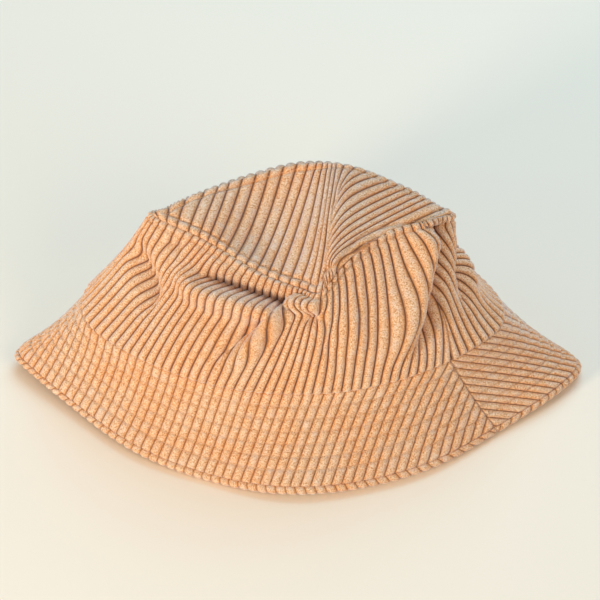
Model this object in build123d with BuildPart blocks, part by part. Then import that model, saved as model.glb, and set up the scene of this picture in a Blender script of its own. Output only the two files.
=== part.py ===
from build123d import *
import math
import os
from collections import namedtuple

# A soft bucket hat in wide-wale corduroy, standing on its brim, pressed a little flat from front to back.
#
# +X runs along the hat's long side, -Y is its front and +Z is up. The origin is on the surface that the
# brim stands on, at the middle of the hat's outer box. All sizes are in millimetres.
#
# Every level section of the hat is a ring of four tangent arcs: a long front arc, a long back arc and a small
# arc at each side. Drawing such a ring in by one distance all round gives another ring of the same kind,
# which is how the cloth layers nest inside each other.

# The brim's outer edge, where the hat stands
edge_half_width = 160.0
edge_front = 97.0
edge_back = 66.0
edge_side_radius = 26.0

# The seam between the brim and the crown, which goes round the head
seam_half_width = 120.0
seam_front = 65.0
seam_back = 46.0
seam_side_radius = 28.0

# The seam between the crown's side and its tip
tip_half_width = 84.0
tip_front = 44.0
tip_back = 45.0
tip_side_radius = 22.0
tip_shift = 3.0

# Heights
brim_height = 48.0
crown_height = 68.0
roof_rise = 8.0
edge_roll = 4.0

# Cloths and padding
corduroy = 2.2
interlining_cloth = 1.0
lining_cloth = 0.5
sweatband_cloth = 1.3
label_cloth = 0.4
layer_gap = 0.3

# Sewing
thread = 0.6
thread_gap = 0.1
brim_rows = 6
first_row_drop = 7.0
last_row_rise = 8.3
tip_topstitch = 4.0
seam_angle = -24.0

# Trim inside
interlining_setback = 3.0
sweatband_height = 30.0
sweatband_stitch_rise = 3.0
label_width = 24.0
label_height = 32.0
label_rise = 5.0

# Sizes that follow from the ones above
ring_centre_y = (edge_front - edge_back) / 2
tip_height = brim_height + crown_height
brim_flare = math.atan2(edge_half_width - seam_half_width, brim_height)
crown_flare = math.atan2(seam_half_width - tip_half_width, crown_height)
roof_radius = (tip_half_width**2 + roof_rise**2) / (2 * roof_rise)
roof_centre_z = tip_height + roof_rise - roof_radius
far = 2 * (edge_half_width + edge_front + tip_height)

# How far each layer's faces lie inside the hat's outer face, measured level
brim_cloth_in = corduroy / math.cos(brim_flare)
interlining_out = brim_cloth_in + layer_gap
interlining_in = interlining_out + interlining_cloth / math.cos(brim_flare)
under_out = interlining_in + layer_gap
under_in = under_out + brim_cloth_in
crown_cloth_in = corduroy / math.cos(crown_flare)
lining_out = crown_cloth_in + layer_gap
lining_in = lining_out + lining_cloth / math.cos(crown_flare)
sweatband_out = lining_in + layer_gap
sweatband_in = sweatband_out + sweatband_cloth / math.cos(crown_flare)
label_out = sweatband_in + thread + 2 * thread_gap + layer_gap
label_in = label_out + label_cloth

Ring = namedtuple("Ring", "half_width front back side_radius shift")
edge_ring = Ring(edge_half_width, edge_front, edge_back, edge_side_radius, 0.0)
seam_ring = Ring(seam_half_width, seam_front, seam_back, seam_side_radius, 0.0)
tip_ring = Ring(tip_half_width, tip_front, tip_back, tip_side_radius, tip_shift)

# The crown's side goes on rising past the tip seam to this ring, so that the roof can trim it
crown_overrun = (crown_height + 2 * roof_rise) / crown_height
over_ring = Ring(*(low + (high - low) * crown_overrun for low, high in zip(seam_ring, tip_ring)))
over_height = brim_height + crown_height * crown_overrun

os.makedirs("parts", exist_ok=True)


def long_arc(ring, depth, side):
    """The front (side -1) or back (side 1) arc of a ring: its two tangent ends and its middle point."""
    reach = ring.half_width - ring.side_radius
    radius = (reach**2 + depth**2 - ring.side_radius**2) / (2 * (depth - ring.side_radius))
    centre_y = side * (depth - radius)
    share = ring.side_radius / math.hypot(reach, centre_y)
    end_x = reach * (1 + share)
    end_y = -centre_y * share
    return (-end_x, end_y), (0, side * depth), (end_x, end_y)


def ring_face(ring, height, inset=0.0):
    """The flat face inside a ring at a height, drawn in by the inset all round."""
    drawn_in = Ring(
        ring.half_width - inset,
        ring.front - inset,
        ring.back - inset,
        ring.side_radius - inset,
        ring.shift,
    )
    front_left, front_middle, front_right = long_arc(drawn_in, drawn_in.front, -1)
    back_left, back_middle, back_right = long_arc(drawn_in, drawn_in.back, 1)
    with BuildSketch(Plane((ring.shift, ring_centre_y, height))) as face:
        with BuildLine():
            ThreePointArc(front_left, front_middle, front_right)
            ThreePointArc(front_right, (drawn_in.half_width, 0), back_right)
            ThreePointArc(back_right, back_middle, back_left)
            ThreePointArc(back_left, (-drawn_in.half_width, 0), front_left)
        make_face()
    return face.sketch


def brim_body(inset, mode=Mode.ADD):
    """The solid inside the brim's cone, its faces drawn in by the inset."""
    faces = [ring_face(edge_ring, 0, inset), ring_face(seam_ring, brim_height, inset)]
    loft(sections=faces, ruled=True, mode=mode)


def crown_body(inset, mode=Mode.ADD):
    """The solid inside the crown's side, from the brim seam up past the roof."""
    base = brim_height + layer_gap
    faces = [ring_face(seam_ring, base, inset), ring_face(over_ring, over_height, inset)]
    loft(sections=faces, ruled=True, mode=mode)


def level_slab(low, high, mode=Mode.INTERSECT):
    """Keeps, or with another mode cuts, what lies between two heights."""
    with Locations((0, 0, (low + high) / 2)):
        Box(far, far, high - low, mode=mode)


def under_roof(rise, mode=Mode.INTERSECT):
    """Keeps what lies under the crown's arched top, raised or lowered by the rise."""
    with BuildSketch(Plane.XZ) as arch:
        with Locations((tip_shift, roof_centre_z)):
            Circle(roof_radius + rise)
    extrude(arch.sketch, amount=far, both=True, mode=mode)


def front_half():
    """Keeps the half of a ring in front of the two side seams, clear of the seams by half a gap."""
    split(bisect_by=side_seam_plane.offset(-layer_gap / 2), keep=Keep.BOTTOM)


def back_half():
    """Keeps the half of a ring behind the two side seams, clear of the seams by half a gap."""
    split(bisect_by=side_seam_plane.offset(layer_gap / 2), keep=Keep.TOP)


def finish(piece, name):
    """Names a piece and writes it."""
    piece.part.label = name
    export_step(piece.part, f"parts/{name}.step")


# The upright plane through both side seams, which faces the back of the hat
seam_direction = Vector(1, 0, 0).rotate(Axis.Z, seam_angle)
side_seam_plane = Plane(
    origin=(0, ring_centre_y, 0), x_dir=seam_direction, z_dir=Vector(0, 1, 0).rotate(Axis.Z, seam_angle)
)
halves = {"front": front_half, "back": back_half}

# Crown: one tip and two side panels
with BuildPart() as crown_tip:
    crown_body(0)
    under_roof(layer_gap + corduroy)
    under_roof(layer_gap, Mode.SUBTRACT)
finish(crown_tip, "crown_tip")

for where, keep_half in halves.items():
    with BuildPart() as crown_side:
        crown_body(0)
        crown_body(crown_cloth_in, Mode.SUBTRACT)
        under_roof(0)
        keep_half()
    finish(crown_side, f"crown_side_{where}")

# Brim: an upper layer, a stiffening layer and an under layer that turns out round the edge
for where, keep_half in halves.items():
    with BuildPart() as brim_top:
        brim_body(0)
        brim_body(brim_cloth_in, Mode.SUBTRACT)
        level_slab(edge_roll + layer_gap, brim_height)
        keep_half()
    finish(brim_top, f"brim_top_{where}")

    with BuildPart() as brim_interlining:
        brim_body(interlining_out)
        brim_body(interlining_in, Mode.SUBTRACT)
        level_slab(edge_roll + interlining_setback, brim_height - interlining_setback)
        keep_half()
    finish(brim_interlining, f"brim_interlining_{where}")

    with BuildPart() as under_brim:
        brim_body(0)
        level_slab(0, edge_roll)
        brim_body(under_out)
        brim_body(under_in, Mode.SUBTRACT)
        keep_half()
    finish(under_brim, f"under_brim_{where}")

# Lining: a tip and two side panels, inside the corduroy
with BuildPart() as lining_tip:
    crown_body(lining_out)
    under_roof(-layer_gap)
    under_roof(-layer_gap - lining_cloth, Mode.SUBTRACT)
finish(lining_tip, "lining_tip")

for where, keep_half in halves.items():
    with BuildPart() as lining_side:
        crown_body(lining_out)
        crown_body(lining_in, Mode.SUBTRACT)
        under_roof(-2 * layer_gap - lining_cloth)
        keep_half()
    finish(lining_side, f"lining_side_{where}")

# Sweatband: a closed band standing on the brim seam, inside the lining
sweatband_base = brim_height + 2 * layer_gap
with BuildPart() as sweatband:
    crown_body(sweatband_out)
    crown_body(sweatband_in, Mode.SUBTRACT)
    level_slab(sweatband_base, sweatband_base + sweatband_height)
finish(sweatband, "sweatband")

# The line of thread that holds the sweatband, on its inner face
with BuildPart() as sweatband_stitch:
    crown_body(sweatband_in + thread_gap)
    crown_body(sweatband_in + thread_gap + thread, Mode.SUBTRACT)
    level_slab(sweatband_base + sweatband_stitch_rise, sweatband_base + sweatband_stitch_rise + thread)
finish(sweatband_stitch, "sweatband_stitch")

# A blank woven label at the middle of the back, flat against the sweatband
with BuildPart() as care_label:
    crown_body(label_out)
    crown_body(label_in, Mode.SUBTRACT)
    with Locations((0, ring_centre_y + far / 2, sweatband_base + label_rise + label_height / 2)):
        Box(label_width, far, label_height, mode=Mode.INTERSECT)
finish(care_label, "care_label")

# Brim stitching: rows round the brim, each with its needle thread on top and its bobbin thread below
lowest_row = last_row_rise
highest_row = brim_height - first_row_drop
row_step = (highest_row - lowest_row) / (brim_rows - 1)
for row in range(brim_rows):
    row_height = highest_row - row * row_step
    with BuildPart() as brim_stitch_row:
        brim_body(-thread_gap - thread)
        brim_body(-thread_gap, Mode.SUBTRACT)
        brim_body(under_in + thread_gap)
        brim_body(under_in + thread_gap + thread, Mode.SUBTRACT)
        level_slab(row_height - thread / 2, row_height + thread / 2)
    finish(brim_stitch_row, f"brim_stitch_row_{row + 1}")

# Topstitching on each side of the tip seam
with BuildPart() as tip_seam_stitch_upper:
    crown_body(tip_topstitch)
    crown_body(tip_topstitch + thread, Mode.SUBTRACT)
    under_roof(layer_gap + corduroy + thread_gap + thread)
    under_roof(layer_gap + corduroy + thread_gap, Mode.SUBTRACT)
finish(tip_seam_stitch_upper, "tip_seam_stitch_upper")

with BuildPart() as tip_seam_stitch_lower:
    crown_body(-thread_gap - thread)
    crown_body(-thread_gap, Mode.SUBTRACT)
    under_roof(-tip_topstitch)
    under_roof(-tip_topstitch - thread, Mode.SUBTRACT)
finish(tip_seam_stitch_lower, "tip_seam_stitch_lower")
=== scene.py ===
import math

import bmesh
import bpy
import numpy as np
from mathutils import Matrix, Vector


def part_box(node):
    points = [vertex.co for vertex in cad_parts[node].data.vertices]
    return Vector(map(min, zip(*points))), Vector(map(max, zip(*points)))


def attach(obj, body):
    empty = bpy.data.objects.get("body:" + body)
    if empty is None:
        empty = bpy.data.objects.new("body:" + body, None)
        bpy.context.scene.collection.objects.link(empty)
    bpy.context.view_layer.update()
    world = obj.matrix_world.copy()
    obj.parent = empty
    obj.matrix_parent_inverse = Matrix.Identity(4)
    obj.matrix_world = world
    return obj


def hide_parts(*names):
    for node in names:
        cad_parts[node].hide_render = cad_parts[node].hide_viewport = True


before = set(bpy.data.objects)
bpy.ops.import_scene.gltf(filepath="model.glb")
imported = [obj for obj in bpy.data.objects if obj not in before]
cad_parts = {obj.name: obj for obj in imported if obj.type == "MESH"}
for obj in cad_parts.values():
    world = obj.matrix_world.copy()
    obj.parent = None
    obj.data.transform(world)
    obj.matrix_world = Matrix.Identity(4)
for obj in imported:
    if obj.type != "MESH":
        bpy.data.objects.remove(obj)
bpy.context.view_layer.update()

# ---------------------------------------------------------------- sizes, in millimetres
MM = 0.001
WALE = 5.3               # from one wale to the next
WALE_RELIEF = 1.9        # from a groove's floor to a wale's crest
BRIM_RELIEF = 1.5        # the same on the brim, which the stitching holds flatter
BRIM_ROWS = 6
ROW_NEAR_SEAM = 8.3      # first row of stitching, measured along the brim from the seam
ROW_NEAR_EDGE = 9.8      # last row, measured from the brim's edge
TOPSTITCH = 4.0          # from the tip seam to the topstitching on each side
FRONT_TURN = -53.0       # arc along the brim seam from the viewer's side to the hat's own front


def node_box(*names):
    """The lowest and highest corners of several nodes together, in millimetres."""
    low = np.min([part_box(n)[0] for n in names], axis=0) / MM
    high = np.max([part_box(n)[1] for n in names], axis=0) / MM
    return low, high


# ---------------------------------------------------------------- rings of the hat
edge_low, edge_high = node_box("under_brim_front", "under_brim_back")
side_low, side_high = node_box("crown_side_front", "crown_side_back")
BRIM_HEIGHT = side_low[2]
SEAM_HALF = (side_high[0] - side_low[0]) / 2
SEAM_FRONT = side_low[1]
SEAM_BACK = side_high[1]
EDGE_HALF = edge_high[0]
EDGE_FRONT = edge_low[1]
EDGE_BACK = edge_high[1]
RING_Y = 15.5            # where the rings' side arcs lie
SEAM_SIDE_RADIUS = 28.0  # of the side arcs, at the brim seam
EDGE_SIDE_RADIUS = 26.0  # and at the brim's edge


def ring_points(half, front, back, side_radius, count=2000, long_steps=400, short_steps=200):
    """A ring of four tangent arcs, as points from the middle of the front round by the right."""
    angle = np.linspace(0, 2 * np.pi, count, endpoint=False)
    out = []
    for depth, sign in ((RING_Y - front, -1), (back - RING_Y, 1)):
        reach = half - side_radius
        radius = (reach**2 + depth**2 - side_radius**2) / (2 * (depth - side_radius))
        centre = np.array([0, sign * (depth - radius)])
        corner = np.array([reach, 0])
        turn = math.atan2(*np.abs(corner - centre))
        long_part = np.linspace(0, turn, long_steps)
        x = radius * np.sin(long_part)
        y = sign * (depth - radius + radius * np.cos(long_part))
        short_part = np.linspace(turn, np.pi / 2, short_steps)[1:]
        x = np.concatenate([x, reach + side_radius * np.sin(short_part)])
        y = np.concatenate([y, sign * side_radius * np.cos(short_part)])
        out.append(np.stack([x, y], 1))
    front_part, back_part = out
    right = np.concatenate([front_part, back_part[::-1][1:]])
    left = right[::-1][1:-1] * [-1, 1]
    loop = np.concatenate([right, left]) + [0, RING_Y]
    closed = np.concatenate([loop, loop[:1]])
    run = np.concatenate([[0], np.cumsum(np.linalg.norm(np.diff(closed, axis=0), axis=1))])
    at = angle / (2 * np.pi) * run[-1]
    return np.stack([np.interp(at, run, closed[:, k]) for k in range(2)], 1), run[-1]


seam_loop, SEAM_ROUND = ring_points(SEAM_HALF, SEAM_FRONT, SEAM_BACK, SEAM_SIDE_RADIUS)
edge_loop, EDGE_ROUND = ring_points(EDGE_HALF, EDGE_FRONT, EDGE_BACK, EDGE_SIDE_RADIUS)


def around(loop, arc):
    """Points of a ring at arcs along the brim seam, in mm from the viewer's side, positive to the right."""
    at = (np.asarray(arc) / SEAM_ROUND) % 1.0 * len(loop)
    low = np.floor(at).astype(int)
    part = (at - low)[..., None]
    return loop[low % len(loop)] * (1 - part) + loop[(low + 1) % len(loop)] * part


def smooth_through(knots, values, at, period=None):
    """A smooth curve through values at knots (uneven Catmull-Rom), closed on itself if it has a period."""
    knots = np.asarray(knots, float)
    values = np.asarray(values, float)
    if values.ndim == 1:
        values = values[:, None]
    if period:
        order = np.argsort(knots % period)
        knots, values = (knots % period)[order], values[order]
        knots = np.concatenate([knots[-2:] - period, knots, knots[:2] + period])
        values = np.concatenate([values[-2:], values, values[:2]])
        at = np.asarray(at) % period
    at = np.clip(at, knots[0], knots[-1])
    slope = np.zeros_like(values)
    step = np.diff(knots)[:, None]
    rise = np.diff(values, axis=0) / step
    slope[1:-1] = (rise[:-1] * step[1:] + rise[1:] * step[:-1]) / (step[1:] + step[:-1])
    slope[0], slope[-1] = rise[0], rise[-1]
    k = np.clip(np.searchsorted(knots, at, side="right") - 1, 0, len(knots) - 2)
    width = (knots[k + 1] - knots[k])[..., None]
    t = (at - knots[k])[..., None] / width
    a, b = values[k], values[k + 1]
    m, n = slope[k] * width, slope[k + 1] * width
    return (
        (2 * t**3 - 3 * t**2 + 1) * a
        + (t**3 - 2 * t**2 + t) * m
        + (-2 * t**3 + 3 * t**2) * b
        + (t**3 - t**2) * n
    )


# The tip seam: arc along the brim seam below it, then its place x, y from the rings' middle, z
TIP_SEAM = np.array([
    (-150, -77, 9, 110),
    (-118, -54, -2.5, 107),
    (-92, -40, -10, 103.5),
    (-60, -21, -21.5, 99),
    (-20, 2, -33, 98.5),
    (11, 14, -38, 102),
    (30, 23, -26, 107),
    (48, 36, -13, 111),
    (68, 52, -3, 113),
    (90, 69, 3, 113),
    (130, 85, 13, 109),
    (165, 78, 20, 108),
    (200, 58, 31, 112),
    (228, 30, 41, 117),
    (260, 2, 43, 118),
    (290, -26, 36, 115),
    (325, -53, 25, 112),
    (372, -71, 15, 110),
], float) + [0, 0, RING_Y, 0]


# Behind its right end the brim seam lies in a little: how far, and the arc and width of the stretch
SEAM_PULL = 9.0
SEAM_PULL_ARC = 164.0
SEAM_PULL_WIDTH = 26.0


def wrap(arc):
    """An arc brought between minus and plus half the way round."""
    return (np.asarray(arc) + SEAM_ROUND / 2) % SEAM_ROUND - SEAM_ROUND / 2


def seam_curve(arc):
    """The brim seam in three dimensions."""
    plan = around(seam_loop, arc)
    plan[..., 0] -= SEAM_PULL * np.exp(-(((wrap(arc) - SEAM_PULL_ARC) / SEAM_PULL_WIDTH) ** 2))
    return np.concatenate([plan, np.full(plan.shape[:-1] + (1,), BRIM_HEIGHT)], -1)


def tip_curve(arc):
    """The tip seam in three dimensions."""
    return smooth_through(TIP_SEAM[:, 0], TIP_SEAM[:, 1:], arc, SEAM_ROUND)


SIDE_LENGTH = 78.0       # the crown's side along its cloth, from seam to seam
SIDE_TAPER = 0.90        # the side's cut at the tip seam against its cut at the brim seam
TIP_HALF = 84.0          # the tip's cut: half its width, and its depth
TIP_DEPTH = 92.0
STIFFENER_SETBACK = 3.0
SWEATBAND_WIDTH = 29.5

# How far the crown's side swells out at half its height: arcs along the brim seam, and distances
SWELL = (
    [-180, -120, -60, 0, 60, 110, 150, 200, 280, 340],
    [-2, -2, 7, 3, 6, -4, -12, -4, 4, 2],
)


def fold(arc, rise, path, width, depth, lean=0.0, ends=(0.25, 0.25)):
    """How deep a fold is at each place of the crown's side, and how far it leans along the cloth.

    The path is a list of (arc, rise) places in mm; the fold's section is a bell of the given width.
    """
    x, y = wrap(arc), rise
    best = np.full(x.shape, 1e9)
    along = np.zeros(x.shape)
    side = np.zeros(x.shape)
    path = np.asarray(path, float)
    legs = np.linalg.norm(np.diff(path, axis=0), axis=1)
    total, start = legs.sum(), 0.0
    for (ax, ay), (bx, by), leg in zip(path[:-1], path[1:], legs):
        dx, dy = (bx - ax) / leg, (by - ay) / leg
        t = np.clip((x - ax) * dx + (y - ay) * dy, 0, leg)
        px, py = x - ax - t * dx, y - ay - t * dy
        gap = np.hypot(px, py)
        nearer = gap < best
        best = np.where(nearer, gap, best)
        along = np.where(nearer, (start + t) / total, along)
        side = np.where(nearer, dx * py - dy * px, side)
        start += leg
    fade = np.clip(along / max(ends[0], 1e-6), 0, 1) * np.clip((1 - along) / max(ends[1], 1e-6), 0, 1)
    fade = fade * fade * (3 - 2 * fade)
    bell = np.exp(-((best / width) ** 2))
    return depth * fade * bell, lean * fade * bell


def crown_base(arc, rise):
    """The crown's side before it is creased."""
    s = rise / SIDE_LENGTH
    low, high = seam_curve(arc), tip_curve(arc)
    body = low + (high - low) * s[..., None]
    bulge = 4 * s * (1 - s)
    out = smooth_through(*SWELL, arc, SEAM_ROUND)[..., 0]
    outward = np.stack([body[..., 0] * 0.9, body[..., 1] - RING_Y, 0 * s], -1)
    outward /= np.maximum(np.linalg.norm(outward, axis=-1, keepdims=True), 1e-9)
    return body + outward * (out * bulge)[..., None]


# The creases of the crown's side: a path of (arc, rise) places, bell width, depth (inwards is negative), lean
FOLDS = [
    # the deep crease that runs under the tip seam on the left, and the ledge below it
    dict(path=[(-100, 57), (-87, 61), (-75, 64), (-61, 67), (-42, 68), (-25, 67), (-10, 64)],
         width=4.0, depth=-12.0, ends=(0.25, 0.2)),
    dict(path=[(-122, 54), (-104, 54), (-87, 53), (-72, 56), (-58, 59), (-40, 60), (-20, 58)],
         width=5.5, depth=10.5, ends=(0.4, 0.2)),
    # the ridge that hooks out from under the point of the tip seam and runs down to the left
    dict(path=[(12, 72), (-4, 72), (-17, 68), (-25, 60), (-31, 46), (-36, 28), (-40, 12)],
         width=4.0, depth=8.5, lean=-4.5, ends=(0.1, 0.45)),
    dict(path=[(-32, 56), (-43, 42), (-48, 28), (-52, 12)],
         width=4.5, depth=-4.5, ends=(0.25, 0.4)),
    # the dimple under the hook
    dict(path=[(-10, 61), (2, 62), (14, 58)], width=4.5, depth=-5.0, ends=(0.3, 0.3)),
    # soft fold at the far left
    dict(path=[(-150, 60), (-142, 50), (-128, 44), (-114, 36), (-100, 22)],
         width=6.0, depth=-7.0, lean=3.0,
         ends=(0.25, 0.4)),
    dict(path=[(-136, 68), (-116, 66)], width=4.0, depth=-3.5, ends=(0.4, 0.4)),
    # gentle waves down the middle
    dict(path=[(22, 60), (14, 40), (20, 18)], width=6.0, depth=-2.2, ends=(0.3, 0.4)),
    dict(path=[(36, 62), (30, 44), (36, 20)], width=6.0, depth=2.2, ends=(0.3, 0.4)),
    # the front bulge and the deep pleat on its right
    dict(path=[(93, 78), (76, 58), (64, 42), (54, 22), (48, 8)],
         width=8.5, depth=8.0, lean=5.5, ends=(0.2, 0.4)),
    dict(path=[(112, 82), (97, 58), (83, 42), (71, 22), (64, 8)],
         width=6.5, depth=-19.0, ends=(0.02, 0.45)),
    # the second pleat, behind the right corner
    dict(path=[(178, 60), (160, 57), (146, 53), (130, 48), (118, 41), (111, 30), (108, 18)],
         width=5.0, depth=-13.0,
         ends=(0.15, 0.4)),
    dict(path=[(166, 47), (150, 44), (135, 38), (125, 28), (120, 16)],
         width=6.0, depth=5.0, lean=-2.0, ends=(0.3, 0.4)),
    # slack at the back
    dict(path=[(196, 62), (204, 40), (200, 16)], width=10.0, depth=-4.0, ends=(0.3, 0.4)),
    dict(path=[(236, 66), (262, 54), (292, 60)], width=7.0, depth=-5.0, ends=(0.3, 0.3)),
    dict(path=[(-236, 58), (-228, 34), (-234, 12)], width=10.0, depth=-4.5, ends=(0.3, 0.4)),
    dict(path=[(-190, 64), (-182, 40), (-186, 14)], width=9.0, depth=-4.0, ends=(0.3, 0.4)),
]


# ---------------------------------------------------------------- skins
# A skin is a smooth surface that the cloth follows.
def make_skin(grid, a0, da, b0, db, around_ring):
    """A smooth surface kept as a grid of places with their outward normals."""
    if around_ring:
        wide = np.concatenate([grid[-2:], grid, grid[:2]])
        along_a = (wide[3:-1] - wide[1:-3])
    else:
        along_a = np.gradient(grid, axis=0)
    along_b = np.gradient(grid, axis=1)
    normal = np.cross(along_a, along_b)
    normal /= np.maximum(np.linalg.norm(normal, axis=-1, keepdims=True), 1e-12)
    return dict(place=grid, normal=normal, a0=a0, da=da, b0=b0, db=db, ring=around_ring)


def on_skin(skin, a, b):
    """Places and outward normals of a skin at its own coordinates."""
    count_a, count_b = skin["place"].shape[:2]
    u = (a - skin["a0"]) / skin["da"]
    v = np.clip((b - skin["b0"]) / skin["db"], 0, count_b - 1.000001)
    u = u % count_a if skin["ring"] else np.clip(u, 0, count_a - 1.000001)
    i, j = np.floor(u).astype(int), np.floor(v).astype(int)
    i = np.minimum(i, count_a - 1)
    f, g = (u - i)[..., None], (v - j)[..., None]
    i2 = (i + 1) % count_a if skin["ring"] else np.minimum(i + 1, count_a - 1)
    out = []
    for key in ("place", "normal"):
        table = skin[key]
        low = table[i, j] * (1 - f) + table[i2, j] * f
        high = table[i, j + 1] * (1 - f) + table[i2, j + 1] * f
        out.append(low * (1 - g) + high * g)
    place, normal = out
    return place, normal / np.maximum(np.linalg.norm(normal, axis=-1, keepdims=True), 1e-12)


def softened(grid, rounds, ring=True):
    """A grid of places with its small kinks eased out, its first and last rows kept."""
    for _ in range(rounds):
        side = (np.roll(grid, 1, 0) + np.roll(grid, -1, 0)) / 2 if ring else grid
        grid = grid * 0.5 + side * 0.5
        inner = grid.copy()
        inner[:, 1:-1] = grid[:, 1:-1] * 0.5 + (grid[:, :-2] + grid[:, 2:]) * 0.25
        grid = inner
    return grid


ROUND_STEPS = 760        # of the skins, round the hat
RISE_STEPS = 104         # of the crown's skin, from seam to seam
OUT_STEPS = 76           # of the brim's skin, from seam to edge
ROLL_STEPS = 18          # of the under brim's skin, round the edge
HELD_AT_FOOT = 12.0      # how far from each seam the folds die out
HELD_AT_TIP = 10.0


def crown_skin():
    """The crown's side with its folds."""
    da, db = SEAM_ROUND / ROUND_STEPS, SIDE_LENGTH / RISE_STEPS
    arc, rise = np.meshgrid(np.arange(ROUND_STEPS) * da, np.arange(RISE_STEPS + 1) * db, indexing="ij")
    base = crown_base(arc, rise)
    skin = make_skin(base, 0.0, da, 0.0, db, True)
    move = np.zeros(arc.shape)
    slide = np.zeros(arc.shape)
    for crease in FOLDS:
        depth, lean = fold(arc, rise, **crease)
        move += depth
        slide += lean
    hold = np.clip(rise / HELD_AT_FOOT, 0, 1) * np.clip((SIDE_LENGTH - rise) / HELD_AT_TIP, 0, 1)
    hold = hold * hold * (3 - 2 * hold)
    run = np.roll(base, -1, 0) - np.roll(base, 1, 0)
    run /= np.linalg.norm(run, axis=-1, keepdims=True)
    place = base + skin["normal"] * (move * hold)[..., None] + run * (slide * hold)[..., None]
    return make_skin(softened(place, 6), 0.0, da, 0.0, db, True)


BRIM_WIDTH = 57.0
BRIM_FOOT = 7.3          # height of the brim's upper edge over the table
BRIM_BELLY = -3.0        # how far the brim sags between seam and edge
# how much the brim's long arcs are flattened towards the hat's ends
FRONT_LEFT_IN, FRONT_RIGHT_IN = 0.50, 0.28
BACK_LEFT_IN, BACK_RIGHT_IN = 0.45, 0.62
LEFT_END_LIFT, RIGHT_END_LIFT = 4.5, 0.5
RIGHT_END_FORWARD = 5.0


def brim_skin():
    """The brim's upper face from the seam out to the edge, with its gentle waves."""
    da, db = SEAM_ROUND / ROUND_STEPS, BRIM_WIDTH / OUT_STEPS
    arc, out = np.meshgrid(np.arange(ROUND_STEPS) * da, np.arange(OUT_STEPS + 1) * db, indexing="ij")
    s = out / BRIM_WIDTH
    high = seam_curve(arc)
    low_plan = around(edge_loop, arc) - [0, RING_Y]
    side = np.abs(low_plan[..., 0]) / EDGE_HALF
    left, front = low_plan[..., 0] < 0, low_plan[..., 1] < 0
    front_in = np.where(left, FRONT_LEFT_IN, FRONT_RIGHT_IN)
    back_in = np.where(left, BACK_LEFT_IN, BACK_RIGHT_IN)
    low_plan[..., 1] *= (1 - np.where(front, front_in, back_in) * side**3) * np.where(front, 0.995, 1.0)
    low_plan[..., 1] += RING_Y - np.where(left, 0.0, RIGHT_END_FORWARD) * side**6
    lift = np.where(left, LEFT_END_LIFT, RIGHT_END_LIFT) * side**4
    low = np.stack([low_plan[..., 0], low_plan[..., 1], BRIM_FOOT + lift], -1)
    place = high + (low - high) * s[..., None]
    turn = arc / SEAM_ROUND * 2 * np.pi
    sway = 1.4 * np.sin(turn * 5 + 0.8) + 0.9 * np.sin(turn * 9 + 2.0)
    belly = BRIM_BELLY * 4 * s * (1 - s) + sway * s * s
    skin = make_skin(place, 0.0, da, 0.0, db, True)
    place = place - skin["normal"] * belly[..., None]
    made = make_skin(place, 0.0, da, 0.0, db, True)
    made["normal"] = -made["normal"]
    return made


# ---------------------------------------------------------------- wales
WALE_STEPS = np.array([-0.5, -0.44, -0.35, -0.20, 0.0, 0.20, 0.35, 0.44])
WALE_SHAPE = np.array([0.0, 0.30, 0.58, 0.88, 1.0, 0.88, 0.58, 0.30])


def wale_columns(low, high):
    """Places across the cloth of the mesh's columns between two limits, and how high the wale is at each."""
    first, last = math.ceil(low / WALE - 0.5), math.floor(high / WALE + 0.5)
    x = np.concatenate([(k + WALE_STEPS) * WALE for k in range(first, last + 1)])
    h = np.tile(WALE_SHAPE, last - first + 1)
    margin = 0.05
    inside = (x > low + margin) & (x < high - margin)
    x, h = x[inside], h[inside]
    return np.concatenate([[low], x, [high]]), np.concatenate([[h[0] * 0.5], h, [h[-1] * 0.5]])


def round_end(distance, radius):
    """How full a wale is near its end: 0 at the end, 1 from one radius in."""
    d = np.clip(distance / radius, 0, 1)
    return np.sqrt(np.clip(1 - (1 - d) ** 2, 0, 1))


def stitched(distance, at, half=0.85):
    """1 on a row of stitching and 0 away from it."""
    return np.exp(-(((distance - at) / half) ** 2))


def grid_piece(name, place, turned=False):
    """A sheet from a regular grid of places in mm, turned over if its faces would point inwards."""
    columns, rows = place.shape[:2]
    bm = bmesh.new()
    bmesh.ops.create_grid(bm, x_segments=columns - 1, y_segments=rows - 1, size=1.0)
    mesh = bpy.data.meshes.new(name)
    bm.to_mesh(mesh)
    bm.free()
    flat = np.empty(len(mesh.vertices) * 3)
    mesh.vertices.foreach_get("co", flat)
    flat = flat.reshape(-1, 3)
    i = np.rint((flat[:, 0] + 1) / 2 * (columns - 1)).astype(int)
    j = np.rint((flat[:, 1] + 1) / 2 * (rows - 1)).astype(int)
    mesh.vertices.foreach_set("co", (place[i, j] * MM).ravel())
    if turned:
        mesh.flip_normals()
    mesh.update()
    piece = bpy.data.objects.new(name, mesh)
    bpy.context.scene.collection.objects.link(piece)
    mesh.polygons.foreach_set("use_smooth", [True] * len(mesh.polygons))
    return piece, (i, j)


def store(piece, where, **values):
    """Keeps values of the grid on the mesh's points, for the materials."""
    for key, value in values.items():
        layer = piece.data.attributes.new(key, "FLOAT", "POINT")
        layer.data.foreach_set("value", value[where].astype(np.float32).ravel())


def store_pile(piece, where, height, x, along, shallowest=0.0):
    """Keeps each column's wale height and place across the cloth, and the places along it."""
    rows = along.shape[1]
    wale = shallowest + (1 - shallowest) * height
    across = np.repeat(x[:, None], rows, 1)
    store(piece, where, wale=np.repeat(wale[:, None], rows, 1), across=across, along=along)


def half_pattern(long_edge, short_edge, width):
    """The flat cut of half a ring: its sweep, and its radii at the short and long edges."""
    sweep = (long_edge - short_edge) / width
    return sweep, short_edge / sweep, long_edge / sweep


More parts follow.
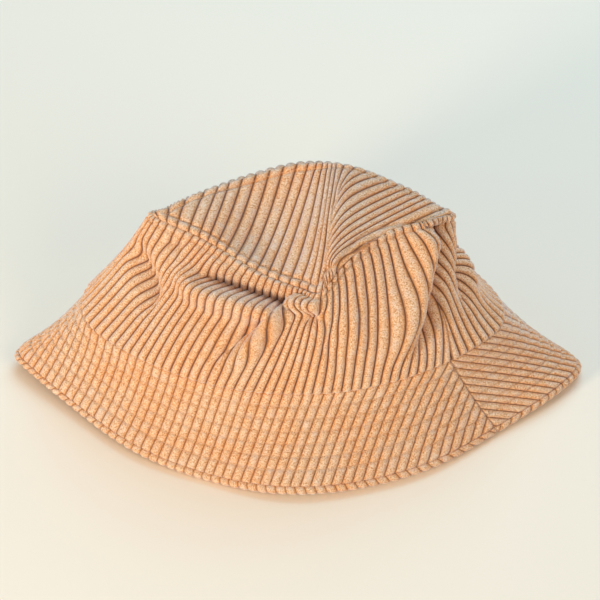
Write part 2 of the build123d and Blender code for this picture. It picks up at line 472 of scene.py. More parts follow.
def pattern_grid(sweep, near, far_out, rows):
    """Columns along the wales of half a ring's cut.

    It gives the places across, the wale heights, and the radius and angle of each point.
    """
    x, height = wale_columns(-far_out * math.sin(sweep / 2), far_out * math.sin(sweep / 2))
    near_end = np.maximum(near, np.abs(x) / math.sin(sweep / 2))
    near_end = np.minimum(near_end, far_out - 0.02)
    t = np.linspace(0, 1, rows)
    radius = near_end[:, None] + (far_out - near_end)[:, None] * t[None, :]
    angle = np.arcsin(np.clip(x[:, None] / radius, -1, 1))
    return x, height, radius, np.clip(angle, -sweep / 2, sweep / 2)


END_ROUND = 1.6          # how far in from a cut side a wale's end is rounded
SIDE_DROP = 0.8          # how far the cloth goes down into a side seam
STITCH_SQUASH = 0.75     # the share of a wale's height that a row of stitching takes
TOPSTITCH_PULL = 0.45    # how deep the topstitching pulls the cloth in
BRIM_ROW_PULL = 0.35     # and the brim's rows
BRIM_GROOVE = 0.16       # the brim's grooves show less of the dark ground and its painted shade than the crown's
SIDE_ROWS = 84           # places along a wale on each panel
BRIM_STEPS = 76
TIP_ROWS = 130


def crown_side_panel(name, skin, centre):
    """Half of the crown's side, its wales running from seam to seam."""
    sweep, near, far_out = half_pattern(SEAM_ROUND / 2, SEAM_ROUND / 2 * SIDE_TAPER, SIDE_LENGTH)
    x, height, radius, angle = pattern_grid(sweep, near, far_out, SIDE_ROWS)
    arc = centre + angle / sweep * SEAM_ROUND / 2
    rise = far_out - radius
    place, normal = on_skin(skin, arc, rise)
    to_tip = SIDE_LENGTH - rise
    to_side = (sweep / 2 - np.abs(angle)) * radius
    full = round_end(rise, 3.0) * round_end(to_tip, END_ROUND) * round_end(to_side, END_ROUND)
    row = stitched(to_tip, TOPSTITCH)
    lift = WALE_RELIEF * height[:, None] * full * (1 - STITCH_SQUASH * row) - TOPSTITCH_PULL * row
    lift += (1.3 - 0.7 * rise / SIDE_LENGTH) * round_end(rise, 2.4) * round_end(to_tip, 1.2)
    lift -= SIDE_DROP * (1 - round_end(to_side, END_ROUND))
    piece, where = grid_piece(name, place + normal * lift[..., None], turned=True)
    store_pile(piece, where, height, x, rise)
    return piece


def brim_rows():
    """How far each row of stitching lies from the brim seam."""
    return np.linspace(ROW_NEAR_SEAM, BRIM_WIDTH - ROW_NEAR_EDGE, BRIM_ROWS)


def brim_top_panel(name, skin, centre):
    """Half of the upper brim, its wales running from seam to edge."""
    sweep, near, far_out = half_pattern(EDGE_ROUND / 2, SEAM_ROUND / 2, BRIM_WIDTH)
    x, height, radius, angle = pattern_grid(sweep, near, far_out, BRIM_STEPS)
    arc = centre + angle / sweep * SEAM_ROUND / 2
    out = radius - near
    place, normal = on_skin(skin, arc, out)
    to_side = (sweep / 2 - np.abs(angle)) * radius
    row = sum(stitched(out, at) for at in brim_rows())
    at_edge = round_end(BRIM_WIDTH - out, 2.0)
    full = at_edge * round_end(to_side, END_ROUND) * round_end(out, 1.4)
    lift = BRIM_RELIEF * height[:, None] * full * (1 - STITCH_SQUASH * row) - BRIM_ROW_PULL * row
    lift -= 1.1 * (1 - at_edge) + SIDE_DROP * (1 - round_end(to_side, END_ROUND))
    piece, where = grid_piece(name, place + normal * lift[..., None], turned=True)
    store_pile(piece, where, height, x, out, BRIM_GROOVE)
    return piece


# ---------------------------------------------------------------- crown tip
TIP_WIDTH = 30 * WALE
RIDGE = np.array([
    (14, -38, 102), (16, -28, 113), (17, -18, 118), (19, 0, 121), (22, 22, 123), (26, 43, 122),
], float) + [0, RING_Y, 0]
RIDGE_SHARE = 0.56       # how far across the tip the ridge lies
TIP_STEPS = 300          # of the tip's skin, across its wales
TIP_RUN = 120.0          # about how long its longest wale is
OUTLINE_SLACK = 0.12     # how far the tip seam's places lie apart, at most
FOLLOWS_FROM = 0.93      # how far across the wales begin to follow the seam round the right corner
# where the tip's wales meet its seam: share across the tip, and the seam's arc
FRONT_ENDS = (
    [0, 0.1, 0.2, 0.3, 0.4, 0.5, RIDGE_SHARE, 0.76, 0.9, 0.96, 1],
    [-150, -129, -104, -76, -47, -16, 5, 13, 20, 29, 50],
)
BACK_ENDS = (
    [0, 0.1, 0.2, 0.3, 0.4, 0.5, RIDGE_SHARE, 0.66, 0.76, 0.86, 0.93, 0.96, 1],
    np.array([SEAM_ROUND - 156, 329, 299, 274, 252, 241, 236, 217, 200, 183, 166, 148, 105]) - SEAM_ROUND,
)


# where along the ridge each wale bends over it, and how far the tip's middle dips or rises
RIDGE_HELD = ([0, RIDGE_SHARE, 0.60, 0.66, 0.76, 0.86, 1], [0.5, 0.5, 0.75, 0.80, 0.60, 0.40, 0.14])
TIP_DIP = ([0, 0.15, 0.34, 0.46, RIDGE_SHARE, 1], [0, 3, -18, -6, 0, 0])


def tip_skin_grid(steps_a, steps_b):
    """The tip as wale paths from its front seam to its back seam, gathered along the ridge."""
    across = np.linspace(0, 1, steps_a)
    t = np.linspace(0, 1, steps_b)
    front_arc = smooth_through(*FRONT_ENDS, across)[..., 0]
    back_arc = smooth_through(*BACK_ENDS, across)[..., 0]
    front, back = tip_curve(front_arc), tip_curve(back_arc)
    ridge_at = smooth_through(*RIDGE_HELD, across)[..., 0]
    ridge = smooth_through(np.linspace(0, 1, len(RIDGE)), RIDGE, ridge_at)
    middle = (front + back) / 2
    middle[:, 2] += smooth_through(*TIP_DIP, across)[..., 0]
    hug = np.clip((across - 0.40) / (RIDGE_SHARE - 0.40), 0, 1)
    hug = (hug * hug * (3 - 2 * hug))[:, None]
    control = middle * (1 - hug) + ridge * hug
    weight = (1 + 1.6 * np.clip((across - RIDGE_SHARE) / 0.1, 0, 1))[:, None, None]
    t = t[None, :, None]
    top = (1 - t) ** 2 * front[:, None] + 2 * weight * t * (1 - t) * control[:, None] + t**2 * back[:, None]
    top = top / ((1 - t) ** 2 + 2 * weight * t * (1 - t) + t**2)
    # the last wales on the right follow the seam round its corner
    along_seam = tip_curve(front_arc[:, None] + (back_arc + SEAM_ROUND - front_arc)[:, None] * t[..., 0])
    follow = np.clip((across - FOLLOWS_FROM) / (1 - FOLLOWS_FROM), 0, 1)
    follow = (follow * follow * (3 - 2 * follow))[:, None, None]
    return top * (1 - follow) + along_seam * follow


def crown_tip_panel(name):
    """The tip with its wales gathered along the ridge, and its skin."""
    x, height = wale_columns(0, TIP_WIDTH)
    dense = tip_skin_grid(TIP_STEPS + 1, TIP_ROWS)
    smooth = softened(dense, 2, ring=False)
    skin = make_skin(smooth, 0.0, TIP_WIDTH / TIP_STEPS, 0.0, 1 / (TIP_ROWS - 1), False)
    skin["normal"] *= np.sign(skin["normal"][..., 2].mean())
    across, along = np.meshgrid(x, np.linspace(0, 1, TIP_ROWS), indexing="ij")
    place, normal = on_skin(skin, across, along)
    outline = tip_curve(np.linspace(0, SEAM_ROUND, 2400, endpoint=False))
    gap = np.empty(place.shape[:2])
    for column, places in enumerate(place):
        gap[column] = np.linalg.norm(places[:, None] - outline[None], axis=-1).min(1)
    gap = np.maximum(gap - OUTLINE_SLACK, 0)
    row = stitched(gap, TOPSTITCH)
    lift = WALE_RELIEF * height[:, None] * round_end(gap, END_ROUND) * (1 - STITCH_SQUASH * row)
    lift += 0.6 * round_end(gap, 1.2) - TOPSTITCH_PULL * row
    piece, where = grid_piece(name, place + normal * lift[..., None])
    store_pile(piece, where, height, x, along * TIP_RUN)
    return piece, skin


# ---------------------------------------------------------------- studio
TARGET = Vector((0.0017, 0.0155, 0.0534))
VIEW_TILT = math.radians(47)
VIEW_DISTANCE = 1.5
VIEW_WIDTH = 336.0       # how much the camera takes in at the target
SENSOR_WIDTH = 36.0


def camera():
    """The camera, straight in front and high up."""
    data = bpy.data.cameras.new("view")
    holder = bpy.data.objects.new("view", data)
    bpy.context.scene.collection.objects.link(holder)
    away = Vector((0, -math.cos(VIEW_TILT), math.sin(VIEW_TILT))) * VIEW_DISTANCE
    holder.location = TARGET + away
    holder.rotation_euler = (math.radians(90) - VIEW_TILT, 0, 0)
    data.sensor_width = SENSOR_WIDTH
    data.lens = SENSOR_WIDTH * VIEW_DISTANCE / (VIEW_WIDTH * MM)
    data.clip_start = 0.05
    bpy.context.scene.camera = holder


def soft_light(name, place, size, power, colour):
    """A round soft light that faces the hat."""
    lamp = bpy.data.lights.new(name, "AREA")
    lamp.shape = "DISK"
    lamp.size = size
    lamp.energy = power
    lamp.color = colour
    holder = bpy.data.objects.new(name, lamp)
    holder.location = place
    holder.rotation_euler = (TARGET - Vector(place)).to_track_quat("-Z", "Y").to_euler()
    bpy.context.scene.collection.objects.link(holder)


def studio_light():
    """A warm key light low on the left, cool light from above and behind, and a soft warm fill."""
    soft_light("key", (-1.05, -0.95, 0.40), 0.30, 14, (1.0, 0.88, 0.74))
    soft_light("sky", (0.3, 0.9, 1.4), 1.5, 20, (0.38, 0.68, 1.0))
    soft_light("front", (1.0, -1.15, 1.1), 1.0, 8.5, (1.0, 0.84, 0.68))
    bpy.context.scene.view_settings.view_transform = "Standard"
    world = bpy.data.worlds.new("room")
    world.use_nodes = True
    world.node_tree.nodes["Background"].inputs[0].default_value = (0.90, 0.94, 1.0, 1)
    world.node_tree.nodes["Background"].inputs[1].default_value = 0.42
    bpy.context.scene.world = world


def floor():
    """A plain pale floor."""
    bm = bmesh.new()
    bmesh.ops.create_grid(bm, x_segments=1, y_segments=1, size=6.0)
    mesh = bpy.data.meshes.new("floor")
    bm.to_mesh(mesh)
    bm.free()
    piece = bpy.data.objects.new("floor", mesh)
    bpy.context.scene.collection.objects.link(piece)
    material = bpy.data.materials.new("floor")
    material.use_nodes = True
    shader = material.node_tree.nodes["Principled BSDF"]
    shader.inputs["Base Color"].default_value = (0.98, 0.845, 0.650, 1)
    shader.inputs["Roughness"].default_value = 0.9
    mesh.materials.append(material)


# ---------------------------------------------------------------- materials
def new_material(name):
    material = bpy.data.materials.new(name)
    material.use_nodes = True
    return material, material.node_tree, material.node_tree.nodes["Principled BSDF"]


def add_node(tree, kind, settings=None, **inputs):
    """A node with some settings, and its inputs set or linked by name, or by number as i0, i1 and so on."""
    node = tree.nodes.new(kind)
    for key, value in (settings or {}).items():
        setattr(node, key, value)
    for key, value in inputs.items():
        by_number = key[0] == "i" and key[1:].isdigit()
        socket = node.inputs[int(key[1:]) if by_number else key]
        if isinstance(value, bpy.types.NodeSocket):
            tree.links.new(value, socket)
        else:
            socket.default_value = value
    return node


def ramp(tree, factor, *stops):
    """A colour ramp through (place, colour) stops."""
    node = add_node(tree, "ShaderNodeValToRGB", Fac=factor)
    while len(node.color_ramp.elements) < len(stops):
        node.color_ramp.elements.new(0.5)
    for element, (place, colour) in zip(node.color_ramp.elements, stops):
        element.position = place
        element.color = (*colour, 1)
    return node.outputs["Color"]


def noise(tree, where, scale, detail=2.0, roughness=0.5):
    """Soft noise; the scale is in grains to the metre."""
    made = add_node(tree, "ShaderNodeTexNoise", Scale=scale, Detail=detail, Roughness=roughness)
    tree.links.new(where, made.inputs["Vector"])
    return made.outputs["Fac"]


def mix(tree, factor, a, b, how="MIX"):
    """Two colours mixed, each a socket or a constant."""
    node = add_node(tree, "ShaderNodeMix", {"data_type": "RGBA", "blend_type": how}, i0=factor)
    for socket, value in ((node.inputs[6], a), (node.inputs[7], b)):
        if isinstance(value, bpy.types.NodeSocket):
            tree.links.new(value, socket)
        else:
            socket.default_value = (*value, 1)
    return node.outputs[2]


def spread(tree, value, low, high, to_low=0.0, to_high=1.0):
    """A value stretched from one span to another, and held inside it."""
    node = add_node(tree, "ShaderNodeMapRange", Value=value)
    limits = {"From Min": low, "From Max": high, "To Min": to_low, "To Max": to_high}
    for socket, number in limits.items():
        node.inputs[socket].default_value = number
    return node.outputs["Result"]


def piece_measure(tree, name):
    """One of the measures kept on a piece's points."""
    return add_node(tree, "ShaderNodeAttribute", {"attribute_name": name}).outputs["Fac"]


def arithmetic(tree, operation, *values):
    """The result of a sum on values or sockets."""
    inputs = {f"i{k}": value for k, value in enumerate(values)}
    return add_node(tree, "ShaderNodeMath", {"operation": operation}, **inputs).outputs[0]


def bumped(tree, shader, height, strength, distance):
    """Gives a material a fine relief."""
    bump = add_node(tree, "ShaderNodeBump", Strength=strength, Distance=distance, Height=height)
    tree.links.new(bump.outputs["Normal"], shader.inputs["Normal"])


def corduroy():
    """Cut-pile cotton: speckled tufts on each wale, with greyish patches of worn nap and painted sheen,
    painted shade on its flanks, a crest lighter from worn pile and painted highlight, and dark ground
    deepened by painted shade in the grooves.
    """
    material, tree, shader = new_material("corduroy")
    where = add_node(tree, "ShaderNodeTexCoord").outputs["Object"]
    wale = piece_measure(tree, "wale")
    tufts = noise(tree, where, 1500.0, 3.0, 0.65)
    patches = noise(tree, where, 42.0, 2.0, 0.55)
    rubs_and_sheen = noise(tree, where, 190.0, 3.0, 0.6)
    pile = ramp(
        tree, spread(tree, tufts, 0.34, 0.66),
        (0.0, (0.46, 0.200, 0.080)),
        (0.38, (0.78, 0.43, 0.205)),
        (0.62, (0.88, 0.56, 0.310)),
        (1.0, (0.96, 0.79, 0.60)),
    )
    warm = mix(tree, 1.0, pile, (1.02, 0.88, 0.70), "MULTIPLY")
    faded_and_sheen = mix(tree, spread(tree, patches, 0.40, 0.62), warm, pile)
    # greyish-lilac patches: partly worn nap, partly painted sheen of cool light on the pile
    faded_and_sheen = mix(tree, spread(tree, rubs_and_sheen, 0.50, 0.74, 0.0, 0.42), faded_and_sheen, (0.77, 0.67, 0.61))
    # the wale's flanks: darker and warmer, painted shade of the rounded rib's sides
    flank_shade = mix(tree, 1.0, faded_and_sheen, (0.98, 0.78, 0.56), "MULTIPLY")
    # the wale's crest: paler tufts, partly worn pile, partly painted highlight on the pile tips
    crest_wear_and_highlight = mix(tree, spread(tree, tufts, 0.42, 0.62, 0.0, 0.55), faded_and_sheen, (0.93, 0.73, 0.54))
    pile_colour = mix(tree, spread(tree, wale, 0.35, 0.98), flank_shade, crest_wear_and_highlight)
    # the grooves: the ground weave's darker tone, deepened by painted shade
    ground_and_groove_shade = (0.21, 0.082, 0.038)
    colour = mix(tree, spread(tree, wale, 0.04, 0.60), ground_and_groove_shade, pile_colour)
    tree.links.new(colour, shader.inputs["Base Color"])
    rough = spread(tree, tufts, 0.3, 0.7, 0.82, 1.0)
    tree.links.new(rough, shader.inputs["Roughness"])
    shader.inputs["Specular IOR Level"].default_value = 0.12
    shader.inputs["Sheen Weight"].default_value = 0.8
    shader.inputs["Sheen Roughness"].default_value = 0.42
    shader.inputs["Sheen Tint"].default_value = (0.74, 0.86, 1.0, 1)
    bumped(tree, shader, tufts, 0.95, 0.0004)
    return material


def woven(name, light, dark, across_pitch, along_pitch, slant=0.0, gloss=0.15):
    """Plain or twill cloth from the piece's own across and along measures, in mm."""
    material, tree, shader = new_material(name)
    where = add_node(tree, "ShaderNodeTexCoord").outputs["Object"]
    across, along = piece_measure(tree, "across"), piece_measure(tree, "along")
    leaned = arithmetic(tree, "MULTIPLY_ADD", along, slant, across)
    across_waves = arithmetic(tree, "SINE", arithmetic(tree, "MULTIPLY", leaned, 2 * math.pi / across_pitch))
    along_waves = arithmetic(tree, "SINE", arithmetic(tree, "MULTIPLY", along, 2 * math.pi / along_pitch))
    cross = arithmetic(tree, "MULTIPLY", across_waves, along_waves)
    height = spread(tree, cross, -1, 1)
    fuzz = noise(tree, where, 700.0, 3.0, 0.6)
    both = arithmetic(tree, "MULTIPLY_ADD", fuzz, 0.6, height)
    colour = ramp(tree, spread(tree, both, 0.1, 1.3), (0.0, dark), (1.0, light))
    tree.links.new(colour, shader.inputs["Base Color"])
    tree.links.new(spread(tree, fuzz, 0.3, 0.7, 0.75, 0.95), shader.inputs["Roughness"])
    shader.inputs["Specular IOR Level"].default_value = gloss
    shader.inputs["Sheen Weight"].default_value = 0.2
    bumped(tree, shader, both, 0.6, 0.00025)
    return material


def sewing_thread():
    """Spun thread in the corduroy's colour."""
    material, tree, shader = new_material("sewing_thread")
    where = add_node(tree, "ShaderNodeTexCoord").outputs["Object"]
    ply = noise(tree, where, 2600.0, 2.0)
    colour = ramp(tree, spread(tree, ply, 0.3, 0.7), (0.0, (0.42, 0.19, 0.085)), (1.0, (0.80, 0.50, 0.29)))
    tree.links.new(colour, shader.inputs["Base Color"])
    tree.links.new(spread(tree, ply, 0.3, 0.7, 0.55, 0.75), shader.inputs["Roughness"])
    shader.inputs["Sheen Weight"].default_value = 0.2
    bumped(tree, shader, ply, 0.5, 0.0001)
    return material


# ---------------------------------------------------------------- under the brim
ROLL_RADIUS = 2.7
ROLL_REACH = 1.25 * ROLL_RADIUS
ROLL = 9.0               # how much of the under-brim's cut turns round the edge


def under_skin(brim):
    """The under-brim's face: from the seam out along the inside, then round the edge to the upper layer."""
    steps = OUT_STEPS + ROLL_STEPS
    db = (BRIM_WIDTH + ROLL) / steps
    arc, out = np.meshgrid(np.arange(ROUND_STEPS) * brim["da"], np.arange(steps + 1) * db, indexing="ij")
    place, normal = on_skin(brim, arc, np.minimum(out, BRIM_WIDTH))
    inner = place - normal * 2 * ROLL_RADIUS
    edge, _ = on_skin(brim, arc, np.full(arc.shape, BRIM_WIDTH))
    before, _ = on_skin(brim, arc, np.full(arc.shape, BRIM_WIDTH - 2.0))
    down = edge - before
    down /= np.linalg.norm(down, axis=-1, keepdims=True)
    turn = (np.pi * np.clip((out - BRIM_WIDTH) / ROLL, 0, 1))[..., None]
    rolled = edge - normal * ROLL_RADIUS * (1 + np.cos(turn)) + down * ROLL_REACH * np.sin(turn)
    grid = np.where((out > BRIM_WIDTH)[..., None], rolled, inner)
    return make_skin(grid, 0.0, brim["da"], 0.0, db, True)


def under_brim_panel(name, skin, centre):
    """Half of the under brim, its wales running from the seam out and round the edge."""
    width = BRIM_WIDTH + ROLL
    sweep, near, _ = half_pattern(EDGE_ROUND / 2, SEAM_ROUND / 2, BRIM_WIDTH)
    x, height, radius, angle = pattern_grid(sweep, near, near + width, SIDE_ROWS)
    arc = centre + angle / sweep * SEAM_ROUND / 2
    out = radius - near
    place, normal = on_skin(skin, arc, out)
    to_side = (sweep / 2 - np.abs(angle)) * radius
    row = sum(stitched(out, at) for at in brim_rows())
    at_side, at_edge = round_end(to_side, END_ROUND), round_end(width - out, END_ROUND)
    flattened = 1 - 0.40 * np.clip((out - BRIM_WIDTH + 4) / 4, 0, 1)
    full = at_side * at_edge * flattened
    lift = BRIM_RELIEF * height[:, None] * full * (1 - STITCH_SQUASH * row) - BRIM_ROW_PULL * row
    lift -= 0.7 * (1 - at_edge) + SIDE_DROP * (1 - at_side)
    piece, where = grid_piece(name, place + normal * lift[..., None])
    store_pile(piece, where, height, x, out, BRIM_GROOVE)
    return piece


# ---------------------------------------------------------------- threads
THREAD = 0.24            # radius
STITCH = 3.0             # length of one stitch
STITCH_STEPS = 6         # places along one stitch
SWEATBAND_ROW = 3.5      # how far the sweatband's row lies above the brim seam
RING_STEPS = 900         # places round a row before it is cut into stitches


def thread_ring(name, rings):
    """Rows of stitching, each a closed line of places; the thread dips into the cloth at each needle hole."""
    curve = bpy.data.curves.new(name, "CURVE")
    curve.dimensions = "3D"
    curve.bevel_depth = THREAD * MM
    curve.bevel_resolution = 1
    for ring in rings:
        spline = curve.splines.new("POLY")
        spline.points.add(len(ring) - 1)
        spline.points.foreach_set("co", np.concatenate([ring * MM, np.ones((len(ring), 1))], 1).ravel())
        spline.use_cyclic_u = True
    flat = bpy.data.objects.new(name + "_line", curve)
    mesh = bpy.data.meshes.new_from_object(flat)
    mesh.name = name
    bpy.data.objects.remove(flat)
    mesh.polygons.foreach_set("use_smooth", [True] * len(mesh.polygons))
    piece = bpy.data.objects.new(name, mesh)
    bpy.context.scene.collection.objects.link(piece)
    return piece


def stitched_line(place, normal, height):
    """Lays thread on a closed line of cloth places, down in a hole at the end of every stitch."""
    closed = np.concatenate([place, place[:1]])
    run = np.concatenate([[0], np.cumsum(np.linalg.norm(np.diff(closed, axis=0), axis=1))])
    count = round(run[-1] / STITCH) * STITCH_STEPS
    at = np.linspace(0, run[-1], count, endpoint=False)
    closed_normal = np.concatenate([normal, normal[:1]])
    p = np.stack([np.interp(at, run, closed[:, k]) for k in range(3)], 1)
    n = np.stack([np.interp(at, run, closed_normal[:, k]) for k in range(3)], 1)
    n /= np.linalg.norm(n, axis=1, keepdims=True)
    phase = (np.arange(count) % STITCH_STEPS) / STITCH_STEPS
    dip = np.where(phase == 0, -0.75, np.where((phase < 0.2) | (phase > 0.8), 0.02, 0.12))
    return p + n * (height + dip)[:, None]


def ring_arcs():
    """Even arcs all the way round."""
    return np.linspace(0, SEAM_ROUND, RING_STEPS, endpoint=False)


def brim_thread(name, at, brim, under):
    """One row of brim stitching: its needle thread on top and its bobbin thread below."""
    arc = ring_arcs()
    rings = []
    for skin in (brim, under):
        place, normal = on_skin(skin, arc, np.full(arc.shape, at))
        rings.append(stitched_line(place, normal, -0.22))
    return thread_ring(name, rings)


def sweatband_thread(name, skin):
    """The row that holds the sweatband, on its inner face."""
    arc = ring_arcs()
    place, normal = on_skin(skin, arc, np.full(arc.shape, SWEATBAND_ROW))
    return thread_ring(name, [stitched_line(place, -normal, 6.4)])


def side_thread(name, skin):
    """Topstitching on the crown's side, a set distance below the tip seam."""
    arc = ring_arcs()
    place, normal = on_skin(skin, arc, np.full(arc.shape, SIDE_LENGTH - TOPSTITCH))
    return thread_ring(name, [stitched_line(place, normal, -0.2)])


def tip_thread(name, skin):
    """Topstitching on the tip, a set distance in from its seam."""
    line = tip_curve(ring_arcs())
    ahead = np.roll(line, -3, 0) - np.roll(line, 3, 0)
    inward = np.stack([-ahead[:, 1], ahead[:, 0]], 1)
    inward /= np.linalg.norm(inward, axis=1, keepdims=True)
    goal = line.copy()
    goal[:, :2] += inward * TOPSTITCH
    flat_places = skin["place"].reshape(-1, 3)
    flat_normals = skin["normal"].reshape(-1, 3)
    nearest = np.array([np.argmin(((flat_places - g) ** 2).sum(1)) for g in goal])
    place, normal = flat_places[nearest], flat_normals[nearest]
    for _ in range(10):
        place = (np.roll(place, 1, 0) + 2 * place + np.roll(place, -1, 0)) / 4
    return thread_ring(name, [stitched_line(place, normal, 0.65)])


# ---------------------------------------------------------------- hidden layers and lining
STIFFENER_IN, STIFFENER_THICKNESS = 2.6, 1.0
LINING_IN, LINING_THICKNESS = 3.0, 0.5
LINING_SHORT = 2.0       # how far the lining's side stops below the tip seam
LINING_TOP_IN = 4.5
HEAD_MIDDLE = np.array([5.0, RING_Y, 60.0])
SWEATBAND_IN, SWEATBAND_THICKNESS = 5.0, 1.2
SWEATBAND_FOOT = 0.5
SWEATBAND_SHARE = 0.93   # its length against the brim seam's, because it lies inside the lining
LABEL_IN, LABEL_THICKNESS = 8.2, 0.4
LABEL_WIDTH, LABEL_HEIGHT = 24.0, 32.0
LABEL_ARC, LABEL_FOOT = 273.0, 4.0


def closed_cloth(piece, thickness):
    """Gives a sheet its thickness, so that it is closed."""
    solid = piece.modifiers.new("thickness", "SOLIDIFY")
    solid.thickness = thickness * MM
    solid.offset = -1.0
    solid.use_even_offset = False
    return piece


def plain_half(name, skin, centre, b_low, b_high, inset, thickness, columns=200, rows=40):
    """A plain sheet over half a ring of a skin, between two of its lines, set in from it."""
    reach = SEAM_ROUND / 4 - 0.4
    arcs = np.linspace(centre - reach, centre + reach, columns)
    arc, b = np.meshgrid(arcs, np.linspace(b_low, b_high, rows), indexing="ij")
    place, normal = on_skin(skin, arc, b)
    piece, where = grid_piece(name, place - normal * inset)
    store(piece, where, across=arc, along=b)
    return closed_cloth(piece, thickness)


def plain_ring(name, skin, b_low, b_high, inset, thickness, columns=420, rows=16):
    """A closed band round a skin, set in from it, its two ends joined."""
    arc, b = np.meshgrid(np.linspace(0, SEAM_ROUND, columns), np.linspace(b_low, b_high, rows), indexing="ij")
    place, normal = on_skin(skin, arc, b)
    piece, where = grid_piece(name, place - normal * inset)
    store(piece, where, across=arc, along=b)
    bm = bmesh.new()
    bm.from_mesh(piece.data)
    bmesh.ops.remove_doubles(bm, verts=bm.verts, dist=0.01 * MM)
    bm.to_mesh(piece.data)
    bm.free()
    return closed_cloth(piece, thickness)


def lining_tip_piece(name, skin):
    """The lining's top, hung a little way in from the crown's tip."""
    place = softened(skin["place"][::4, ::4], 2, ring=False)
    inward = HEAD_MIDDLE - place
    place = place + inward / np.linalg.norm(inward, axis=-1, keepdims=True) * LINING_TOP_IN
    piece, where = grid_piece(name, place)
    across, along = np.meshgrid(
        np.arange(place.shape[0]) * 2.1, np.arange(place.shape[1]) * 3.7, indexing="ij")
    store(piece, where, across=across, along=along)
    return closed_cloth(piece, LINING_THICKNESS)


def label_piece(name, skin):
    """A blank label standing in the back of the hat, inside the sweatband near its foot, bowed a little."""
    arcs = np.linspace(LABEL_ARC, LABEL_ARC + LABEL_WIDTH, 25)
    arc, rise = np.meshgrid(arcs, np.linspace(LABEL_FOOT, LABEL_FOOT + LABEL_HEIGHT, 33), indexing="ij")
    place, normal = on_skin(skin, arc, rise)
    inset = LABEL_IN + 1.2 * np.sin((rise - LABEL_FOOT) / LABEL_HEIGHT * np.pi)
    piece, where = grid_piece(name, place - normal * inset[..., None])
    store(piece, where, across=arc, along=rise)
    return closed_cloth(piece, LABEL_THICKNESS)


def half_cut(long_edge, short_edge, width, trim_long=0.0, trim_short=0.0):
    """Half a ring's flat cut in metres: the width and length it is cut from, and its area."""
    sweep, near, far_out = half_pattern(long_edge, short_edge, width)
    near, far_out = near + trim_short, far_out - trim_long
    across = 2 * far_out * math.sin(sweep / 2)
    along = far_out - near * math.cos(sweep / 2)
    area = sweep / 2 * (far_out**2 - near**2)
    return (across * MM, along * MM), area * MM**2


def oval_cut(width, length):
    """An oval's flat cut in metres, and its area."""
    return (width * MM, length * MM), math.pi / 4 * width * length * MM**2


def strip_cut(width, length):
    """A straight strip's flat cut in metres; its area is the product of the two."""
    return (width * MM, length * MM), None


# Flat cuts of the cloth: (width, length) and area
CROWN_TIP_CUT = oval_cut(2 * TIP_HALF, TIP_DEPTH)
CROWN_SIDE_CUT = half_cut(SEAM_ROUND / 2, SEAM_ROUND / 2 * SIDE_TAPER, SIDE_LENGTH)
BRIM_TOP_CUT = half_cut(EDGE_ROUND / 2, SEAM_ROUND / 2, BRIM_WIDTH)
UNDER_BRIM_CUT = half_cut(EDGE_ROUND / 2 + ROLL, SEAM_ROUND / 2, BRIM_WIDTH + ROLL)
STIFFENER_CUT = half_cut(
    EDGE_ROUND / 2, SEAM_ROUND / 2, BRIM_WIDTH, STIFFENER_SETBACK, STIFFENER_SETBACK)
LINING_TIP_CUT = oval_cut(2 * TIP_HALF - 10, TIP_DEPTH - 12)
LINING_SIDE_CUT = half_cut(SEAM_ROUND / 2, SEAM_ROUND / 2 * SIDE_TAPER, SIDE_LENGTH, 0.0, LINING_SHORT)
SWEATBAND_CUT = strip_cut(SWEATBAND_WIDTH, SEAM_ROUND * SWEATBAND_SHARE)
LABEL_CUT = strip_cut(LABEL_WIDTH, LABEL_HEIGHT)

camera()
studio_light()
floor()
cord = corduroy()
thread = sewing_thread()
twill = woven("sweatband_twill", (0.72, 0.45, 0.27), (0.45, 0.24, 0.13), 1.2, 2.4, 1.0)
lining = woven("lining_cotton", (0.74, 0.52, 0.36), (0.50, 0.31, 0.19), 0.8, 0.8)
stiffener = woven("stiffener", (0.84, 0.82, 0.76), (0.66, 0.63, 0.56), 1.0, 1.0)
satin = woven("label_satin", (0.88, 0.86, 0.80), (0.70, 0.68, 0.62), 0.5, 1.5, 0.5, 0.5)
crown = crown_skin()
brim = brim_skin()
under = under_skin(brim)
tip, tip_skin = crown_tip_panel("tip_panel")

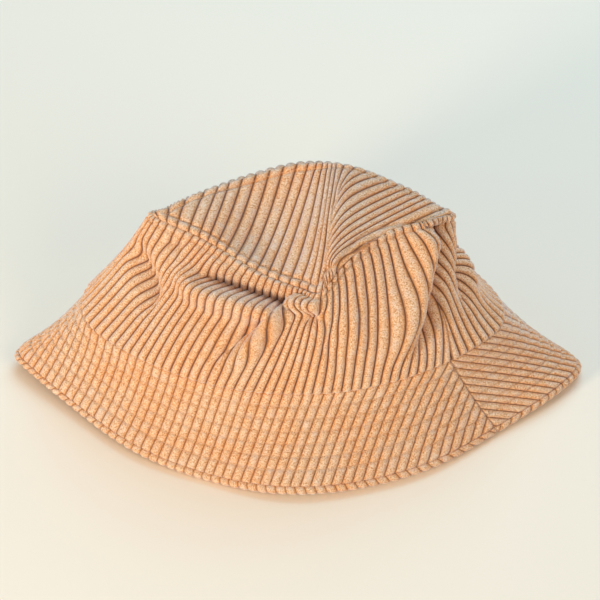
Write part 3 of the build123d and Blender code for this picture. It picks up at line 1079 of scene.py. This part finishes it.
# Each sheet: piece, node that it stands for, slot, material, flat cut, how it is held, node that it rests on
sheets = [(tip, "crown_tip", "corduroy", cord, CROWN_TIP_CUT, "draped", "lining_tip")]
for half, centre in (("front", FRONT_TURN), ("back", FRONT_TURN + SEAM_ROUND / 2)):
    side_panel = crown_side_panel(f"side_panel_{half}", crown, centre)
    brim_panel = brim_top_panel(f"brim_panel_{half}", brim, centre)
    under_panel = under_brim_panel(f"under_panel_{half}", under, centre)
    stiffening = plain_half(
        f"stiffener_{half}", brim, centre, STIFFENER_SETBACK, BRIM_WIDTH - STIFFENER_SETBACK,
        STIFFENER_IN, STIFFENER_THICKNESS)
    side_lining = plain_half(
        f"lining_{half}", crown, centre, 0, SIDE_LENGTH - LINING_SHORT, LINING_IN, LINING_THICKNESS)
    in_brim, in_crown = f"brim_interlining_{half}", f"lining_side_{half}"
    outside, below = f"crown_side_{half}", f"under_brim_{half}"
    sheets += [
        (side_panel, outside, "corduroy", cord, CROWN_SIDE_CUT, "draped", in_crown),
        (brim_panel, f"brim_top_{half}", "corduroy", cord, BRIM_TOP_CUT, "stretched", in_brim),
        (under_panel, below, "corduroy", cord, UNDER_BRIM_CUT, "folded", in_brim),
        (stiffening, in_brim, "interlining", stiffener, STIFFENER_CUT, "laid", below),
        (side_lining, in_crown, "lining", lining, LINING_SIDE_CUT, "hung", outside),
    ]
top_lining = lining_tip_piece("lining_top", tip_skin)
band = plain_ring(
    "sweatband_band", crown, SWEATBAND_FOOT, SWEATBAND_FOOT + SWEATBAND_WIDTH,
    SWEATBAND_IN, SWEATBAND_THICKNESS)
label = label_piece("blank_label", crown)
sheets += [
    (top_lining, "lining_tip", "lining", lining, LINING_TIP_CUT, "hung", "crown_tip"),
    (band, "sweatband", "sweatband", twill, SWEATBAND_CUT, "stretched", "lining_side_front"),
    (label, "care_label", "label", satin, LABEL_CUT, "hung", "sweatband"),
]
threads = [
    (side_thread("topstitch_lower", crown), "tip_seam_stitch_lower"),
    (tip_thread("topstitch_upper", tip_skin), "tip_seam_stitch_upper"),
    (sweatband_thread("sweatband_thread", crown), "sweatband_stitch"),
]
for row, at in enumerate(brim_rows()):
    threads.append((brim_thread(f"brim_thread_{row + 1}", at, brim, under), f"brim_stitch_row_{row + 1}"))

pieces = [sheet[:4] for sheet in sheets] + [(piece, node, "thread", thread) for piece, node in threads]
for piece, node, slot, material in pieces:
    piece.data.materials.append(material)
    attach(piece, "root")
    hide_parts(node)
